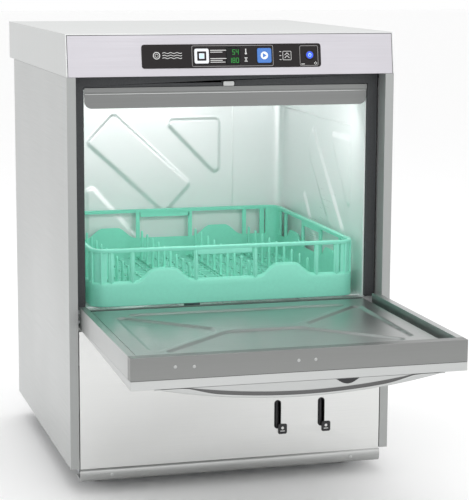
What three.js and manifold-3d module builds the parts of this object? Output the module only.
// Undercounter commercial dishwasher with a drop-down door and a 500 mm sliding rack.
// Millimetres, +Z up. The machine faces -Y: y = 0 is the front plane of the cabinet,
// x = 0 its middle plane and z = 0 the floor. The door is open and the rack is inside.
// The last lines move the origin under the middle of the whole machine.

import * as THREE from 'three';
import { mergeVertices } from 'three/addons/utils/BufferGeometryUtils.js';
import Module from 'manifold-3d';

const wasm = await Module();
wasm.setup();

// ---------------------------------------------------------------- driving dimensions

const WIDTH = 600;
const HEIGHT = 820;
const HOOD_HEIGHT = 74;
const HOOD_DEPTH = 663;
const HOOD_LIP = 2;
const FASCIA_LEAN = THREE.MathUtils.degToRad(9);
const BODY_DEPTH = 604;
const SIDE_BOTTOM = 48;
const PANEL_BOTTOM = 26;
const FLANGE = 16;
const SHEET = 1.5;
const GAP = 0.3;

const HALF = WIDTH / 2;
const HOOD_BOTTOM = HEIGHT - HOOD_HEIGHT;
const BODY_TOP = HOOD_BOTTOM - GAP;
const FRAME_FACE = 37;
const OPENING_HALF = 262.5;
const OPENING_TOP = 725;

const DOOR_HALF = 280;
const DOOR_REACH = 414;
const DOOR_TAIL = 20;
const DOOR_RIM = 341;
const DOOR_SEAM = 304;
const DOOR_SKIRT = 289.5;
const DOOR_BED = 329.5;
const RIM_WIDTH = 12;
const GROOVE_INNER = 256;
const HINGE = { y: 10.5, z: 314.5, pin: 4, bore: 4.4 };

const RACK = { half: 249, front: 50, bottom: 330, height: 105, corner: 28 };
const CHAMBER = { back: 562, top: 735, floor: 248, ledge: 10 };
const TANK = { halfWidth: 225, front: 75, back: 535, bottom: 165 };
const ARM = { y: 304.5, reach: 235, spindle: 11, bore: 11.5 };

const CONTROL_Z = 780.5;
const BUTTON = { size: 26, front: -2.4, travel: 1.5 };
const PROGRAM_X = -59;
const DISPLAY_X = -1.5;
const START_X = 55.7;
const POWER_X = 140.2;

// ---------------------------------------------------------------- finishes

const finishes = {
  brushedSteel: { color: 0xc4c6c5, roughness: 0.38, metalness: 0.85 },
  polishedSteel: { color: 0xdfe3e3, roughness: 0.22, metalness: 0.9 },
  fasciaSteel: { color: 0xdcd9e0, roughness: 0.34, metalness: 0.8 },
  darkSteel: { color: 0x8a8d8b, roughness: 0.4, metalness: 0.85 },
  zincSteel: { color: 0x9fa3a6, roughness: 0.45, metalness: 0.8 },
  blackRubber: { color: 0x2c2e30, roughness: 0.75, metalness: 0 },
  blackPlastic: { color: 0x1d1c1e, roughness: 0.4, metalness: 0 },
  overlayFilm: { color: 0x241f22, roughness: 0.3, metalness: 0 },
  whitePlastic: { color: 0xe9ebee, roughness: 0.35, metalness: 0 },
  bluePlastic: { color: 0x2d62b8, roughness: 0.3, metalness: 0 },
  smokedGlass: { color: 0x0c1411, roughness: 0.1, metalness: 0 },
  circuitBoard: { color: 0x1f5a35, roughness: 0.6, metalness: 0 },
  mintPlastic: { color: 0x83e0c6, roughness: 0.45, metalness: 0 },
  armPlastic: { color: 0x6f7780, roughness: 0.5, metalness: 0 },
  greyPlastic: { color: 0x9a9c9e, roughness: 0.55, metalness: 0 },
  brass: { color: 0xb99a54, roughness: 0.35, metalness: 0.9 },
  motorPaint: { color: 0x3c4a55, roughness: 0.5, metalness: 0.2 },
};

// ---------------------------------------------------------------- geometry helpers

function part(name, geometry, finish) {
  const mesh = new THREE.Mesh(geometry, new THREE.MeshStandardMaterial(finish));
  mesh.name = name;
  return mesh;
}

function box([x0, x1], [y0, y1], [z0, z1]) {
  const geometry = new THREE.BoxGeometry(x1 - x0, y1 - y0, z1 - z0);
  return geometry.translate((x0 + x1) / 2, (y0 + y1) / 2, (z0 + z1) / 2);
}

function outline(points) {
  return new THREE.Shape(points.map(([a, b]) => new THREE.Vector2(a, b)));
}

function roundedOutline([a0, a1], [b0, b1], radius) {
  const shape = new THREE.Shape();
  shape.absarc(a1 - radius, b1 - radius, radius, 0, Math.PI / 2);
  shape.absarc(a0 + radius, b1 - radius, radius, Math.PI / 2, Math.PI);
  shape.absarc(a0 + radius, b0 + radius, radius, Math.PI, 1.5 * Math.PI);
  shape.absarc(a1 - radius, b0 + radius, radius, 1.5 * Math.PI, 2 * Math.PI);
  return shape;
}

// An extrusion of an outline in the plane across the named axis. The outline is drawn
// in (x, y) for z, in (y, z) for x and in (x, z) for y.
function extrude(axis, shape, from, to, curveSegments = 6) {
  const depth = to - from;
  const geometry = new THREE.ExtrudeGeometry(shape, { depth, bevelEnabled: false, curveSegments });
  const turn = new THREE.Matrix4();
  if (axis === 'x') {
    turn.makeBasis(unit('y'), unit('z'), unit('x')).setPosition(from, 0, 0);
  } else if (axis === 'y') {
    turn.makeBasis(unit('x'), unit('z'), unit('y').negate()).setPosition(0, to, 0);
  } else {
    turn.setPosition(0, 0, from);
  }
  return geometry.applyMatrix4(turn);
}

function unit(axis) {
  return new THREE.Vector3(Number(axis === 'x'), Number(axis === 'y'), Number(axis === 'z'));
}

// A solid of revolution about an axis through (x, y, z): the profile lists (radius, along).
function turned(axis, profile, [x, y, z], segments = 16) {
  const points = profile.map(([radius, along]) => new THREE.Vector2(radius, along));
  const geometry = new THREE.LatheGeometry(points, segments);
  const turn = new THREE.Matrix4();
  if (axis === 'x') {
    turn.makeBasis(unit('z'), unit('x'), unit('y'));
  } else if (axis === 'z') {
    turn.makeBasis(unit('y'), unit('z'), unit('x'));
  } else {
    turn.makeBasis(unit('x'), unit('y'), unit('z'));
  }
  return geometry.applyMatrix4(turn.setPosition(x, y, z));
}

function rod(axis, radius, from, to, centre, segments = 16) {
  return turned(axis, [[0, from], [radius, from], [radius, to], [0, to]], centre, segments);
}

function tubeAlong(points, radius, steps, sides = 10) {
  const path = new THREE.CatmullRomCurve3(points.map((point) => new THREE.Vector3(...point)));
  const corners = [];
  for (let side = 0; side < sides; side += 1) {
    const angle = (2 * Math.PI * side) / sides;
    corners.push([radius * Math.cos(angle), radius * Math.sin(angle)]);
  }
  return new THREE.ExtrudeGeometry(outline(corners), { steps, extrudePath: path });
}

function toSolid(geometry) {
  const bare = geometry.clone();
  bare.deleteAttribute('normal');
  bare.deleteAttribute('uv');
  const merged = mergeVertices(bare, 1e-4);
  const vertProperties = Float32Array.from(merged.attributes.position.array);
  const triVerts = Uint32Array.from(merged.index.array);
  return new wasm.Manifold(new wasm.Mesh({ numProp: 3, vertProperties, triVerts }));
}

function toGeometry(solid) {
  const { vertProperties, triVerts } = solid.getMesh();
  const geometry = new THREE.BufferGeometry();
  geometry.setAttribute('position', new THREE.BufferAttribute(vertProperties, 3));
  geometry.setIndex(new THREE.BufferAttribute(triVerts, 1));
  geometry.computeVertexNormals();
  return geometry;
}

function join(pieces) {
  return toGeometry(pieces.map(toSolid).reduce((whole, piece) => whole.add(piece)));
}

function cut(geometry, tools) {
  return toGeometry(tools.reduce((whole, tool) => whole.subtract(toSolid(tool)), toSolid(geometry)));
}

// A span on the right (side = 1) or the left (side = -1) of the middle plane.
function span(side, inner, outer) {
  return side > 0 ? [inner, outer] : [-outer, -inner];
}

function mirrored(side, points) {
  return points.map(([a, b]) => [side * a, b]);
}

const SIDES = [['left', -1], ['right', 1]];

// ---------------------------------------------------------------- cabinet

// Channel of sheet: outer wall, front flange that turns back into the opening, rear flange.
function sidePanel(side) {
  const rearLip = HALF - 20;
  const channel = extrude('z', outline(mirrored(side, [
    [HALF, 0], [HALF, BODY_DEPTH], [rearLip, BODY_DEPTH], [rearLip, BODY_DEPTH - SHEET],
    [HALF - SHEET, BODY_DEPTH - SHEET], [HALF - SHEET, SHEET], [HALF - FLANGE + SHEET, SHEET],
    [HALF - FLANGE + SHEET, FRAME_FACE - 1], [HALF - FLANGE, FRAME_FACE - 1], [HALF - FLANGE, 0],
  ])), SIDE_BOTTOM, BODY_TOP);
  const [from, to] = span(side, HALF - FLANGE - 1, HALF - FLANGE + SHEET + 1);
  return cut(channel, [rod('x', HINGE.bore, from, to, [0, HINGE.y, HINGE.z], 16)]);
}

const INLET = { x: 150, z: 120, bore: 14.5 };
const DRAIN = { x: 190, z: 76, bore: 18.5 };
const GLAND = { x: -190, z: 120, bore: 10.5 };

function rearPanel() {
  const half = HALF - 20 - GAP;
  const [front, back] = [BODY_DEPTH - SHEET, BODY_DEPTH];
  const sheet = box([-half, half], [front, back], [SIDE_BOTTOM, BODY_TOP]);
  const holes = [INLET, DRAIN, GLAND].map(
    ({ x, z, bore }) => rod('y', bore, front - 1, back + 1, [x, 0, z]));
  return cut(sheet, holes);
}

// Depth of the leaning front plane at a height.
function frontAt(z) {
  return (z - HOOD_BOTTOM) * Math.tan(FASCIA_LEAN);
}

// A block whose front leans back with the fascia and whose back is upright.
function leaningBlock(half, [front, back], [low, high]) {
  return extrude('x', outline([
    [front + frontAt(low), low], [back, low], [back, high], [front + frontAt(high), high],
  ]), -half, half);
}

// Tilts a control, drawn upright, back about the lower front edge of the fascia.
function lean(geometry) {
  return geometry.translate(0, 0, -HOOD_BOTTOM).rotateX(-FASCIA_LEAN).translate(0, 0, HOOD_BOTTOM);
}

// Shell with a narrow front lip, open below the cabinet and closed under the rear overhang.
function topHood() {
  const shell = leaningBlock(HALF, [0, HOOD_DEPTH], [HOOD_BOTTOM, HEIGHT]);
  const inside = HALF - SHEET;
  const cabinetSpace = leaningBlock(inside, [SHEET, BODY_DEPTH], [HOOD_BOTTOM - 1, HEIGHT - SHEET]);
  const overhang = box([-inside, inside], [BODY_DEPTH - 1, HOOD_DEPTH - SHEET],
    [HOOD_BOTTOM + SHEET, HEIGHT - SHEET]);
  const mouth = leaningBlock(HALF - HOOD_LIP, [-1, 30], [HOOD_BOTTOM - 1, HEIGHT - HOOD_LIP]);
  return cut(shell, [cabinetSpace, overhang, mouth]);
}

function squareHole(x, size, from, to) {
  const half = size / 2;
  const shape = roundedOutline([x - half, x + half], [CONTROL_Z - half, CONTROL_Z + half], 3.2);
  return extrude('y', shape, from, to, 3);
}

function displayHole(from, to) {
  return box([DISPLAY_X - 13, DISPLAY_X + 13], [from, to], [CONTROL_Z - 15, CONTROL_Z + 15]);
}

function controlHoles(from, to) {
  return [
    squareHole(PROGRAM_X, BUTTON.size + 0.6, from, to),
    squareHole(START_X, BUTTON.size + 0.6, from, to),
    rod('y', 8.8, from, to, [POWER_X, 0, CONTROL_Z]),
    displayHole(from, to),
  ];
}

// Leaning face with a level return under it. The face starts just over the return's underside.
function controlFascia() {
  const seam = 1;
  const half = HALF - HOOD_LIP - seam;
  const length = (HOOD_HEIGHT - HOOD_LIP - seam) / Math.cos(FASCIA_LEAN);
  const face = box([-half, half], [0, SHEET], [HOOD_BOTTOM + GAP, HOOD_BOTTOM + length]);
  const returnLip = box([-half, half], [GAP, 40], [HOOD_BOTTOM, HOOD_BOTTOM + SHEET]);
  return join([lean(cut(face, controlHoles(-1, SHEET + 0.5))), returnLip]);
}

function controlOverlay() {
  const [halfWidth, halfHeight] = [164, 21];
  const film = roundedOutline([-2.5 - halfWidth, -2.5 + halfWidth],
    [CONTROL_Z - halfHeight, CONTROL_Z + halfHeight], 5);
  return lean(cut(extrude('y', film, -1.2, -GAP, 3), controlHoles(-2, 1)));
}

const BUTTON_FLANGE = SHEET + 0.7;

function buttonStem(x) {
  return rod('y', 4, BUTTON_FLANGE + 1, 6, [x, 0, CONTROL_Z], 12);
}

function squareButton(x) {
  const cap = squareHole(x, BUTTON.size, BUTTON.front, BUTTON_FLANGE + 0.5);
  const flange = squareHole(x, BUTTON.size + 3.4, BUTTON_FLANGE, BUTTON_FLANGE + SHEET);
  return lean(join([cap, flange, buttonStem(x)]));
}

function roundButton(x) {
  const profile = [
    [0, BUTTON.front], [7.6, BUTTON.front], [8.4, BUTTON.front + 0.8], [8.4, BUTTON_FLANGE],
    [10.2, BUTTON_FLANGE], [10.2, BUTTON_FLANGE + SHEET], [4, BUTTON_FLANGE + SHEET], [4, 6], [0, 6],
  ];
  return lean(turned('y', profile, [x, 0, CONTROL_Z], 20));
}

const SWITCH_FACE = 7.9;
const BOARD_FACE = 11;

// The two-row digit display stands on the board and fills the window of the overlay.
function displayModule() {
  const clear = GAP * 2;
  return lean(box([DISPLAY_X - 13 + clear, DISPLAY_X + 13 - clear], [-0.9, BOARD_FACE - GAP],
    [CONTROL_Z - 15 + clear, CONTROL_Z + 15 - clear]));
}

function controlBoard() {
  const plate = box([-158, 158], [BOARD_FACE, BOARD_FACE + 1.6], [CONTROL_Z - 24, CONTROL_Z + 24]);
  const switches = [PROGRAM_X, START_X, POWER_X].map(
    (x) => box([x - 6, x + 6], [SWITCH_FACE, BOARD_FACE + 0.5], [CONTROL_Z - 6, CONTROL_Z + 6]));
  return lean(join([plate, ...switches]));
}

function controlHousing() {
  const [half, low, high] = [168, HOOD_BOTTOM + 6.2, CONTROL_Z + 31];
  const [wall, depth] = [2, 26];
  const shell = box([-half, half], [SHEET + GAP, depth], [low, high]);
  const inside = box([-half + wall, half - wall], [0, depth - wall], [low + wall, high - wall]);
  return lean(cut(shell, [inside]));
}

// Thin bent sheet: straight face, a fold at the bottom of the side panels, a rounded lower edge.
function lowerPanel() {
  const top = 298;
  const depth = 40;
  const kickLean = 3;
  const bend = 5;
  const outer = [
    [depth, top], [0, top], [0, SIDE_BOTTOM], [kickLean, PANEL_BOTTOM + bend],
    [kickLean + bend * 0.4, PANEL_BOTTOM + bend * 0.3], [kickLean + bend * 1.2, PANEL_BOTTOM],
    [depth, PANEL_BOTTOM],
  ];
  const inner = [
    [depth, PANEL_BOTTOM + SHEET], [kickLean + bend * 1.4, PANEL_BOTTOM + SHEET],
    [kickLean + SHEET, PANEL_BOTTOM + bend + 1], [SHEET, SIDE_BOTTOM + 0.3],
    [SHEET, top - SHEET], [depth, top - SHEET],
  ];
  const half = HALF - FLANGE - SHEET;
  const sheet = extrude('x', outline([...outer, ...inner]), -half, half);
  const slots = DOSING_SLOTS.map((x) => extrude('y',
    roundedOutline([x - 6, x + 6], [SLOT_LOW, SLOT_HIGH], 5.9), -1, SHEET + 1, 5));
  return cut(sheet, slots);
}

const DOSING_SLOTS = [85, 169];
const SLOT_LOW = 98;
const SLOT_HIGH = 151;

// Housing of the two dosing pumps, with a level tube behind each slot of the lower panel.
function dosingUnit() {
  const housing = box([60, 194], [24, 60], [SLOT_LOW - 14, SLOT_HIGH + 16]);
  const rotors = DOSING_SLOTS.map((x) => rod('y', 26, 59, 72, [x + 2, 0, 125]));
  const tubes = DOSING_SLOTS.map((x) => rod('z', 5, SLOT_LOW - 8, SLOT_HIGH + 8, [x, 9, 0], 12));
  const ties = DOSING_SLOTS.map((x) => box([x - 3, x + 3], [12, 25], [SLOT_LOW - 7, SLOT_LOW]));
  return join([housing, ...rotors, ...tubes, ...ties]);
}

const FOOT = { x: 235, front: 95, back: 560, stem: 5 };
const FEET = [
  ['front_left', -FOOT.x, FOOT.front], ['front_right', FOOT.x, FOOT.front],
  ['rear_left', -FOOT.x, FOOT.back], ['rear_right', FOOT.x, FOOT.back],
];

function basePan() {
  const half = HALF - FLANGE - 7;
  const [front, back] = [44, BODY_DEPTH - SHEET - 2];
  const [low, high] = [28, 56];
  const tray = box([-half, half], [front, back], [low, high]);
  const inside = box([-half + SHEET, half - SHEET], [front + SHEET, back - SHEET], [low + SHEET, high + 1]);
  const holes = FEET.map(([, x, y]) => rod('z', FOOT.stem + 0.4, low - 1, low + SHEET + 1, [x, y, 0], 16));
  return cut(tray, [inside, ...holes]);
}

function foot(x, y) {
  const profile = [
    [0, 0], [17, 0], [19, 2], [19, 7], [9, 11], [9, 27.6], [FOOT.stem, 27.6], [FOOT.stem, 44], [0, 44],
  ];
  return turned('z', profile, [x, y, 0]);
}

// ---------------------------------------------------------------- doorway and wash chamber

function doorSeal() {
  const [outer, inner] = [HALF - FLANGE - 0.4, OPENING_HALF + 0.5];
  const [low, top] = [330, 744.5];
  const shape = outline([
    [-outer, low], [-outer, top], [outer, top], [outer, low],
    [inner, low], [inner, OPENING_TOP], [11, OPENING_TOP], [11, OPENING_TOP + 8.5],
    [-11, OPENING_TOP + 8.5], [-11, OPENING_TOP], [-inner, OPENING_TOP], [-inner, low],
  ]);
  return extrude('y', shape, FRAME_FACE + 0.6, FRAME_FACE + 9);
}

function doorCatch() {
  const shape = roundedOutline([-10, 10], [OPENING_TOP + GAP, OPENING_TOP + 8], 2);
  return extrude('y', shape, FRAME_FACE + 0.4, FRAME_FACE + 8.8, 3);
}

const POST_FACE = FRAME_FACE + 9.3;

// Folded strip over the doorway: an upper band, then a leaf with rounded lower corners.
function doorHeader() {
  const half = OPENING_HALF - 0.5;
  const leafLow = 688;
  const leaf = new THREE.Shape();
  leaf.moveTo(-half, OPENING_TOP - 1);
  leaf.lineTo(-half, leafLow + 14);
  leaf.absarc(-half + 14, leafLow + 14, 14, Math.PI, 1.5 * Math.PI);
  leaf.absarc(half - 14, leafLow + 14, 14, 1.5 * Math.PI, 2 * Math.PI);
  leaf.lineTo(half, OPENING_TOP - 1);
  const face = extrude('y', leaf, FRAME_FACE + 4, FRAME_FACE + 5.5, 5);
  const band = box([-half, half], [FRAME_FACE + 1.5, FRAME_FACE + 5], [717, OPENING_TOP - 0.5]);
  const web = box([-half, half], [FRAME_FACE + 4.5, POST_FACE + 1], [OPENING_TOP - 3, OPENING_TOP - 1]);
  const frame = box([-half, half], [POST_FACE, POST_FACE + SHEET], [OPENING_TOP - 3, 745]);
  return join([face, band, web, frame]);
}

function doorSill() {
  const half = OPENING_HALF - 0.5;
  const upright = box([-half, half], [POST_FACE, POST_FACE + SHEET], [CHAMBER.floor + 2, 327]);
  const lip = box([-half, half], [FRAME_FACE + 4, POST_FACE + 1], [325.5, 327]);
  return join([upright, lip]);
}

// Side wall of the chamber with its front flange behind the seal.
function linerSide(side) {
  const outer = OPENING_HALF + SHEET;
  const flangeEdge = HALF - SHEET - 1;
  const wall = outline(mirrored(side, [
    [OPENING_HALF, POST_FACE], [flangeEdge, POST_FACE], [flangeEdge, POST_FACE + SHEET],
    [outer, POST_FACE + SHEET], [outer, CHAMBER.back], [OPENING_HALF, CHAMBER.back],
  ]));
  return extrude('z', wall, CHAMBER.floor + 2, CHAMBER.top);
}

function linerRear() {
  const half = OPENING_HALF + SHEET;
  return box([-half, half], [CHAMBER.back + GAP, CHAMBER.back + GAP + SHEET], [CHAMBER.floor + 2, CHAMBER.top]);
}

function linerTop() {
  const half = OPENING_HALF + SHEET;
  const sheet = box([-half, half], [POST_FACE + SHEET + GAP, CHAMBER.back + SHEET + GAP],
    [CHAMBER.top + GAP, CHAMBER.top + GAP + SHEET]);
  return cut(sheet, [rod('z', 17, CHAMBER.top - 1, CHAMBER.top + 3, [0, ARM.y, 0])]);
}

// Deep-drawn tank with the chamber floor around its mouth and a drain spigot below.
function washTank() {
  const { halfWidth, front, back, bottom } = TANK;
  const floorHalf = OPENING_HALF + SHEET;
  const floor = box([-floorHalf, floorHalf], [POST_FACE, CHAMBER.back + SHEET],
    [CHAMBER.floor, CHAMBER.floor + SHEET]);
  const well = box([-halfWidth - SHEET, halfWidth + SHEET], [front - SHEET, back + SHEET],
    [bottom, CHAMBER.floor + 1]);
  const spigot = rod('z', 14, bottom - 18, bottom + 1, [STANDPIPE.x, STANDPIPE.y, 0]);
  const inside = box([-halfWidth, halfWidth], [front, back], [bottom + SHEET, CHAMBER.floor + SHEET + 1]);
  const drain = rod('z', 11, bottom - 19, bottom + 3, [STANDPIPE.x, STANDPIPE.y, 0]);
  const suction = rod('z', 13, bottom - 1, bottom + 3, [VOLUTE.x, VOLUTE.y, 0]);
  return cut(join([floor, well, spigot]), [inside, drain, suction]);
}

const STANDPIPE = { x: 195, y: 110, outer: 15, inner: 12, top: 278 };

function overflowStandpipe() {
  const { x, y, outer, inner, top } = STANDPIPE;
  const foot = TANK.bottom + SHEET + 0.5;
  const profile = [
    [inner, foot], [outer + 3, foot], [outer + 3, foot + 5], [outer, foot + 7], [outer, top - 8],
    [outer + 1.5, top - 6], [outer + 1.5, top], [inner, top], [inner, foot],
  ];
  return turned('z', profile, [x, y, 0]);
}

function filterTray(side) {
  const low = CHAMBER.floor + SHEET + GAP;
  const [from, to] = span(side, 1, TANK.halfWidth + CHAMBER.ledge);
  const plate = box([from, to], [TANK.front - CHAMBER.ledge, TANK.back + CHAMBER.ledge], [low, low + 2]);
  const holes = [rod('z', 19, low - 1, low + 3, [0, ARM.y, 0])];
  if (side > 0) {
    holes.push(rod('z', STANDPIPE.outer + 4, low - 1, low + 3, [STANDPIPE.x, STANDPIPE.y, 0]));
  }
  return cut(plate, holes);
}

// Angle that carries one edge of the rack.
function rackRail(side) {
  const inner = 228;
  const outer = OPENING_HALF - GAP;
  const top = RACK.bottom - 0.5;
  const angle = outline(mirrored(side, [
    [inner, top - 2], [inner, top], [outer, top], [outer, top - 30], [outer - 2, top - 30], [outer - 2, top - 2],
  ]));
  return extrude('y', angle, 60, 545);
}

function tankHeater() {
  const [y0, y1] = [140, 470];
  const z = TANK.bottom + 22;
  const loop = [
    [-200, y0, z], [-200, y1 - 60, z], [-180, y1, z], [-110, y1, z], [-90, y1 - 60, z], [-90, y0, z],
  ];
  return tubeAlong(loop, 4.5, 30, 6);
}

// ---------------------------------------------------------------- wash and rinse arms

function spindleProfile(base, arms, tip) {
  const { spindle } = ARM;
  return [
    [0, base], [30, base], [30, base + 5 * Math.sign(tip - base)], [16, base + 5 * Math.sign(tip - base)],
    [16, arms[0]], [spindle, arms[0]], [spindle, arms[1]], [17, arms[1]], [17, tip], [0, tip],
  ];
}

const LOWER_ARMS = { seat: 284, retainer: 313, tip: 321 };
const UPPER_ARMS = { seat: 711, retainer: 682, tip: 674 };

function lowerHub() {
  const base = TANK.bottom + SHEET + GAP;
  return turned('z', spindleProfile(base, [LOWER_ARMS.seat, LOWER_ARMS.retainer], LOWER_ARMS.tip),
    [0, ARM.y, 0]);
}

function upperHub() {
  const profile = spindleProfile(CHAMBER.top, [UPPER_ARMS.seat, UPPER_ARMS.retainer], UPPER_ARMS.tip);
  return turned('z', profile.reverse(), [0, ARM.y, 0]);
}

// Hollow arms are drawn as flat bars, wide at the boss and narrow at the tip, with a centre bore.
function sprayArm({ low, high, rootHalf, tipHalf, boss, turn }) {
  const tip = ARM.reach - tipHalf;
  const shape = new THREE.Shape();
  shape.moveTo(0, -rootHalf);
  shape.lineTo(tip, -tipHalf);
  shape.absarc(tip, 0, tipHalf, -Math.PI / 2, Math.PI / 2);
  shape.lineTo(0, rootHalf);
  shape.lineTo(-tip, tipHalf);
  shape.absarc(-tip, 0, tipHalf, Math.PI / 2, 1.5 * Math.PI);
  const blade = extrude('z', shape, low + 1, high - 1, 6);
  const hub = rod('z', boss, low, high, [0, 0, 0], 16);
  const bore = rod('z', ARM.bore, low - 1, high + 1, [0, 0, 0], 16);
  return cut(join([blade, hub]), [bore]).rotateZ(turn).translate(0, ARM.y, 0);
}

const ARM_TURN = THREE.MathUtils.degToRad(35);

function lowerWashArm() {
  return sprayArm({ low: 284.6, high: 302, rootHalf: 21, tipHalf: 13, boss: 24, turn: ARM_TURN });
}

function lowerRinseArm() {
  return sprayArm({ low: 302.8, high: 312.4, rootHalf: 9, tipHalf: 6, boss: 17, turn: -ARM_TURN });
}

function upperWashArm() {
  return sprayArm({ low: 693, high: 710.4, rootHalf: 21, tipHalf: 13, boss: 24, turn: -ARM_TURN });
}

function upperRinseArm() {
  return sprayArm({ low: 682.6, high: 692.2, rootHalf: 9, tipHalf: 6, boss: 17, turn: ARM_TURN });
}

// ---------------------------------------------------------------- pump, boiler and connections

const VOLUTE = { x: -40, y: 200, z: 98, radius: 58 };

// Pump casing about an X axis, with an eye at the left and a shaft hole at the right.
function pumpVolute() {
  const { x, y, z, radius } = VOLUTE;
  const wall = 4;
  const profile = [
    [20, -20], [radius, -20], [radius, 20], [9, 20], [9, 20 - wall], [radius - wall, 20 - wall],
    [radius - wall, wall - 20], [20, wall - 20], [20, -20],
  ];
  return turned('x', profile, [x, y, z], 20);
}

function pumpImpeller() {
  const { x, y, z } = VOLUTE;
  const disc = turned('x', [[0, 2], [46, 2], [46, 6], [12, 6], [6, 10], [6, 24], [0, 24]], [x, y, z]);
  const vanes = [0, 1, 2, 3, 4].map((step) => {
    const vane = box([-11, 3], [-2, 2], [8, 45]);
    return vane.rotateX((2 * Math.PI * step) / 5).translate(x, y, z);
  });
  const hub = rod('x', 10, -12, 3, [x, y, z]);
  return join([disc, ...vanes, hub]);
}

function pumpMotor() {
  const { x, y, z } = VOLUTE;
  const start = x + 26;
  const body = turned('x', [[0, 0], [40, 0], [40, 10], [48, 12], [48, 108], [38, 116], [0, 116]],
    [start, y, z], 20);
  const saddle = box([start + 20, start + 100], [y - 30, y + 30], [30, z - 20]);
  return join([body, saddle]);
}

function rinseBoiler() {
  const [x, z, radius] = [-190, 108, 50];
  const shell = turned('y', [
    [0, 130], [34, 132], [radius, 144], [radius, 456], [34, 468], [0, 470],
  ], [x, 0, z], 20);
  const heaterFlange = turned('y', [
    [0, 100], [14, 100], [14, 112], [32, 112], [32, 134], [0, 134],
  ], [x, 0, z]);
  const cradles = [190, 400].map((y) => box([x - 34, x + 34], [y, y + 14], [30, z - 20]));
  return join([shell, heaterFlange, ...cradles]);
}

function inletValve() {
  const { x, z, bore } = INLET;
  const body = box([x - 20, x + 20], [548, 592], [z - 15, z + 15]);
  const coil = rod('z', 14, z + 10, z + 44, [x, 566, 0]);
  const thread = turned('y', [[0, 590], [bore - 1, 590], [bore - 1, 626], [bore - 3, 628], [0, 628]], [x, 0, z]);
  return join([body, coil, thread]);
}

function drainHose() {
  const { x, z, bore } = DRAIN;
  const start = TANK.bottom - 18 - GAP;
  const hose = tubeAlong([
    [STANDPIPE.x, STANDPIPE.y, start], [STANDPIPE.x, STANDPIPE.y, start - 25],
    [STANDPIPE.x, STANDPIPE.y + 45, z], [x, 330, z], [x, 500, z], [x, 596, z],
  ], 13, 20, 8);
  const end = rod('y', bore - 0.8, 592, 640, [x, 0, z]);
  return join([hose, end]);
}

// Riser from the pump, behind the chamber and over its ceiling to the upper arms.
function washRiser() {
  const { x, y } = VOLUTE;
  const back = 583;
  return tubeAlong([
    [x, y + 62, 98], [x, y + 140, 98], [x, 500, 98], [x, back - 8, 110], [x, back, 160], [x, back, 700],
    [x, back - 6, 756], [x, back - 50, 765], [x + 10, 420, 765], [-2, ARM.y + 30, 764],
    [0, ARM.y + 4, 759], [0, ARM.y, 746], [0, ARM.y, CHAMBER.top + 1],
  ], 10, 48, 8);
}

function electricalBox() {
  return box([20, 140], [330, 450], [30, 150]);
}

function cableGland() {
  const { x, z, bore } = GLAND;
  const profile = [
    [3.5, 590], [bore - 0.8, 590], [bore - 0.8, 604.4], [bore + 3, 604.4], [bore + 3, 612], [8, 622],
    [3.5, 622], [3.5, 590],
  ];
  return turned('y', profile, [x, 0, z]);
}

// ---------------------------------------------------------------- door

// Plate with the pin that carries one lower corner of the door.
function hingeBracket(side) {
  const inner = HALF - FLANGE + SHEET + 0.4;
  const plate = box(span(side, inner, inner + 4), [3, 36], [HINGE.z - 26, HINGE.z + 40]);
  const [from, to] = span(side, DOOR_HALF - 12, HALF - SHEET - 1);
  const pin = rod('x', HINGE.pin, from, to, [0, HINGE.y, HINGE.z], 16);
  const [headFrom, headTo] = span(side, HALF - SHEET - 4, HALF - SHEET - 1);
  const head = rod('x', 7, headFrom, headTo, [0, HINGE.y, HINGE.z], 6);
  return join([plate, pin, head]);
}

// Torsion spring around the pin, between the bracket and the pin's head.
function hingeSpring(side) {
  const turns = 3;
  const radius = 6.6;
  const inner = HALF - FLANGE + SHEET + 5.4;
  const length = 3.2;
  const points = [];
  for (let step = 0; step <= turns * 8; step += 1) {
    const angle = (step * Math.PI) / 4;
    const along = inner + (length * step) / (turns * 8);
    points.push([side * along, HINGE.y + radius * Math.cos(angle), HINGE.z + radius * Math.sin(angle)]);
  }
  return tubeAlong(points, 0.45, turns * 10, 4);
}

function doorInnerPanel() {
  const [edge, front] = [GROOVE_INNER, GAP + RIM_BACK];
  const low = DOOR_BED - 11.5;
  const section = outline([
    [-edge, low], [-edge, DOOR_BED], [edge, DOOR_BED], [edge, low], [edge - SHEET, low],
    [edge - SHEET, DOOR_BED - SHEET], [SHEET - edge, DOOR_BED - SHEET], [SHEET - edge, low],
  ]);
  return extrude('y', section, front, DOOR_TAIL);
}

const RIM_BACK = -DOOR_REACH + 20;

// Raised edge of the door: outer wall, flat rim, groove, and the ear that turns on the pin.
function doorSideRail(side) {
  const low = DOOR_SEAM + GAP;
  const grooveFloor = DOOR_BED - 9.5;
  const rimInner = DOOR_HALF - RIM_WIDTH;
  const section = outline(mirrored(side, [
    [DOOR_HALF, low], [DOOR_HALF, DOOR_RIM], [rimInner, DOOR_RIM], [rimInner, grooveFloor],
    [GROOVE_INNER + GAP, grooveFloor], [GROOVE_INNER + GAP, grooveFloor - SHEET],
    [rimInner + SHEET, grooveFloor - SHEET], [rimInner + SHEET, DOOR_RIM - SHEET],
    [DOOR_HALF - SHEET, DOOR_RIM - SHEET], [DOOR_HALF - SHEET, low],
  ]));
  const rail = extrude('y', section, RIM_BACK + GAP, HINGE.y - 2.5);
  const ear = box(span(side, DOOR_HALF - 4, DOOR_HALF), [-20, DOOR_TAIL], [low, DOOR_RIM - 15]);
  const [from, to] = span(side, DOOR_HALF - 6, DOOR_HALF + 1);
  return cut(join([rail, ear]), [rod('x', HINGE.bore, from, to, [0, HINGE.y, HINGE.z], 16)]);
}

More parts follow.
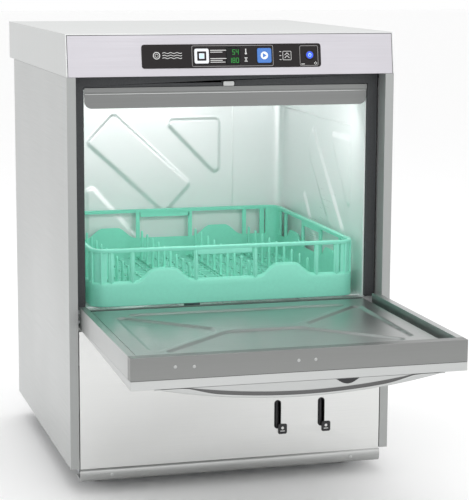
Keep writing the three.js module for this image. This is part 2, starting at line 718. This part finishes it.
function doorFrontRail() {
  const low = DOOR_SEAM + GAP;
  const grooveFloor = DOOR_BED - 11;
  const front = -DOOR_REACH;
  const block = box([-DOOR_HALF, DOOR_HALF], [front, RIM_BACK], [low, DOOR_RIM]);
  const inside = box([SHEET - DOOR_HALF, DOOR_HALF - SHEET], [front + SHEET, RIM_BACK - SHEET],
    [low - 1, DOOR_RIM - SHEET]);
  const underBed = box([SHEET - DOOR_HALF, DOOR_HALF - SHEET], [RIM_BACK - SHEET - 1, RIM_BACK + 1],
    [low - 1, grooveFloor]);
  return cut(block, [inside, underBed]);
}

// Tapered tray that closes the underside of the open door, thin at the hinge.
function doorOuterSkin() {
  const tray = extrude('x', outline([
    [DOOR_TAIL, DOOR_SEAM], [-DOOR_REACH, DOOR_SEAM], [-DOOR_REACH, DOOR_SKIRT], [DOOR_TAIL, DOOR_SEAM - SHEET],
  ]), -DOOR_HALF, DOOR_HALF);
  const inside = extrude('x', outline([
    [DOOR_TAIL - SHEET, DOOR_SEAM + 0.5], [SHEET - DOOR_REACH, DOOR_SEAM + 0.5],
    [SHEET - DOOR_REACH, DOOR_SKIRT + SHEET],
  ]), SHEET - DOOR_HALF, DOOR_HALF - SHEET);
  return cut(tray, [inside]);
}

const HANDLE = { bow: 1150, ledge: 273.7, groove: 268, low: 263.6, depth: 28, web: 12 };

// Area between a straight chord and a bow that hangs below it at the middle.
function bowShape(lowest) {
  const chord = DOOR_SKIRT - GAP;
  const halfAngle = Math.acos(1 - (chord - lowest) / HANDLE.bow);
  const shape = new THREE.Shape();
  shape.absarc(0, lowest + HANDLE.bow, HANDLE.bow, -Math.PI / 2 - halfAngle, -Math.PI / 2 + halfAngle);
  return shape;
}

function bow(lowest, from, to) {
  return extrude('y', bowShape(lowest), from, to, 12);
}

// Bow handle with a groove between its ledge and its grip lip.
function doorHandle() {
  const front = -DOOR_REACH;
  const back = front + HANDLE.depth;
  const grooveBack = back - HANDLE.web;
  const groove = cut(bow(HANDLE.groove, front - 1, grooveBack), [bow(HANDLE.ledge, front - 2, back)]);
  return cut(bow(HANDLE.low, front, back), [groove]);
}

// ---------------------------------------------------------------- rack

function squareRing(outer, inner, low, high) {
  const middle = RACK.front + RACK.half;
  const ring = (half, radius, from, to) => extrude('z',
    roundedOutline([-half, half], [middle - half, middle + half], radius), from, to, 3);
  const inset = RACK.half - inner;
  return cut(ring(outer, RACK.corner, low, high), [ring(inner, RACK.corner - inset, low - 1, high + 1)]);
}

// One side of the rack has a bay in the middle, a humped bay to each side of it and a small
// bay next to each corner. The outlines run along the side (a) and up from the rack's base (b).
const RACK_BAYS = [
  [[-50, 48], [-50, 90], [50, 90], [50, 48]],
  [[62, 48], [62, 97], [168, 97], [168, 48], [150, 48], [131, 70], [99, 70], [80, 48]],
  [[180, 48], [180, 97], [207, 97], [207, 48]],
];

function rackWindows() {
  const middle = RACK.front + RACK.half;
  const reach = RACK.half + 10;
  const bays = [...RACK_BAYS, ...RACK_BAYS.slice(1).map((bay) => mirrored(-1, bay))];
  const raised = bays.map((bay) => bay.map(([a, b]) => [a, b + RACK.bottom]));
  const frontToBack = raised.map((bay) => extrude('y', outline(bay), middle - reach, middle + reach));
  const sideToSide = raised.map(
    (bay) => extrude('x', outline(bay.map(([a, b]) => [a + middle, b])), -reach, reach));
  return [...frontToBack, ...sideToSide];
}

const PEG = { columns: [-172, -57, 57, 172], rows: 9, pitch: 50, height: 62 };

// Ribs under the pegs run front to back and cross ribs join them to the walls.
function rackBase() {
  const middle = RACK.front + RACK.half;
  const inside = RACK.half - 3;
  const rib = 2.5;
  const height = [RACK.bottom, RACK.bottom + 7];
  const pegRibs = PEG.columns.map(
    (x) => box([x - rib, x + rib], [middle - inside, middle + inside], height));
  const crossRibs = pegRows().map((y) => box([-inside, inside], [y - rib, y + rib], height));
  return [...pegRibs, ...crossRibs];
}

function pegRows() {
  const middle = RACK.front + RACK.half;
  return Array.from({ length: PEG.rows }, (_, row) => middle + (row - (PEG.rows - 1) / 2) * PEG.pitch);
}

function rackPegs() {
  return pegRows().flatMap((y) => PEG.columns.map((x) => {
    const peg = new THREE.CylinderGeometry(2.4, 4, PEG.height, 4).rotateX(Math.PI / 2);
    return peg.translate(x, y, RACK.bottom + 5 + PEG.height / 2);
  }));
}

function dishRack() {
  const { half, bottom, height } = RACK;
  const band = squareRing(half, half - 7, bottom, bottom + 46);
  const wall = squareRing(half - 3, half - 7, bottom + 45, bottom + height);
  const rim = squareRing(half, half - 8, bottom + height - 7, bottom + height - 0.01);
  const sides = cut(join([band, wall, rim]), rackWindows());
  return join([sides, ...rackBase(), ...rackPegs()]);
}

// ---------------------------------------------------------------- assembly

function cabinetParts() {
  const f = finishes;
  return [
    ...SIDES.map(([label, side]) => part(`side_panel_${label}`, sidePanel(side), f.brushedSteel)),
    part('rear_panel', rearPanel(), f.zincSteel),
    part('top_hood', topHood(), f.brushedSteel),
    part('lower_front_panel', lowerPanel(), f.brushedSteel),
    part('base_pan', basePan(), f.zincSteel),
    ...FEET.map(([label, x, y]) => part(`foot_${label}`, foot(x, y), f.blackPlastic)),
    part('dosing_unit', dosingUnit(), f.blackPlastic),
  ];
}

function controlParts() {
  const f = finishes;
  return [
    part('control_fascia', controlFascia(), f.fasciaSteel),
    part('control_overlay', controlOverlay(), f.overlayFilm),
    part('program_button', squareButton(PROGRAM_X), f.whitePlastic),
    part('start_button', squareButton(START_X), f.bluePlastic),
    part('power_button', roundButton(POWER_X), f.blackPlastic),
    part('display_module', displayModule(), f.smokedGlass),
    part('control_board', controlBoard(), f.circuitBoard),
    part('control_housing', controlHousing(), f.greyPlastic),
  ];
}

function chamberParts() {
  const f = finishes;
  return [
    part('door_seal', doorSeal(), f.blackRubber),
    part('door_catch', doorCatch(), f.polishedSteel),
    part('door_header', doorHeader(), f.darkSteel),
    part('door_sill', doorSill(), f.darkSteel),
    ...SIDES.map(([label, side]) => part(`liner_${label}`, linerSide(side), f.polishedSteel)),
    part('liner_rear', linerRear(), f.polishedSteel),
    part('liner_top', linerTop(), f.polishedSteel),
    part('wash_tank', washTank(), f.polishedSteel),
    ...SIDES.map(([label, side]) => part(`filter_tray_${label}`, filterTray(side), f.polishedSteel)),
    ...SIDES.map(([label, side]) => part(`rack_rail_${label}`, rackRail(side), f.polishedSteel)),
    part('overflow_standpipe', overflowStandpipe(), f.greyPlastic),
    part('tank_heater', tankHeater(), f.darkSteel),
    part('lower_hub', lowerHub(), f.armPlastic),
    part('upper_hub', upperHub(), f.armPlastic),
    part('lower_wash_arm', lowerWashArm(), f.polishedSteel),
    part('lower_rinse_arm', lowerRinseArm(), f.polishedSteel),
    part('upper_wash_arm', upperWashArm(), f.polishedSteel),
    part('upper_rinse_arm', upperRinseArm(), f.polishedSteel),
  ];
}

function machineryParts() {
  const f = finishes;
  return [
    part('pump_volute', pumpVolute(), f.blackPlastic),
    part('pump_impeller', pumpImpeller(), f.greyPlastic),
    part('pump_motor', pumpMotor(), f.motorPaint),
    part('rinse_boiler', rinseBoiler(), f.zincSteel),
    part('inlet_valve', inletValve(), f.brass),
    part('drain_hose', drainHose(), f.greyPlastic),
    part('wash_riser', washRiser(), f.blackRubber),
    part('electrical_box', electricalBox(), f.greyPlastic),
    part('cable_gland', cableGland(), f.blackPlastic),
  ];
}

function doorParts() {
  const f = finishes;
  return [
    ...SIDES.map(([label, side]) => part(`hinge_bracket_${label}`, hingeBracket(side), f.zincSteel)),
    ...SIDES.map(([label, side]) => part(`hinge_spring_${label}`, hingeSpring(side), f.darkSteel)),
    part('door_inner_panel', doorInnerPanel(), f.polishedSteel),
    ...SIDES.map(([label, side]) => part(`door_side_rail_${label}`, doorSideRail(side), f.brushedSteel)),
    part('door_front_rail', doorFrontRail(), f.brushedSteel),
    part('door_outer_skin', doorOuterSkin(), f.brushedSteel),
    part('door_handle', doorHandle(), f.brushedSteel),
  ];
}

const machine = new THREE.Group();
machine.add(...cabinetParts(), ...controlParts(), ...chamberParts(), ...machineryParts(), ...doorParts());
machine.add(part('dish_rack', dishRack(), finishes.mintPlastic));
machine.position.y = (DOOR_REACH - HOOD_DEPTH) / 2;

const dishwasher = new THREE.Group();
dishwasher.add(machine);

export default dishwasher;
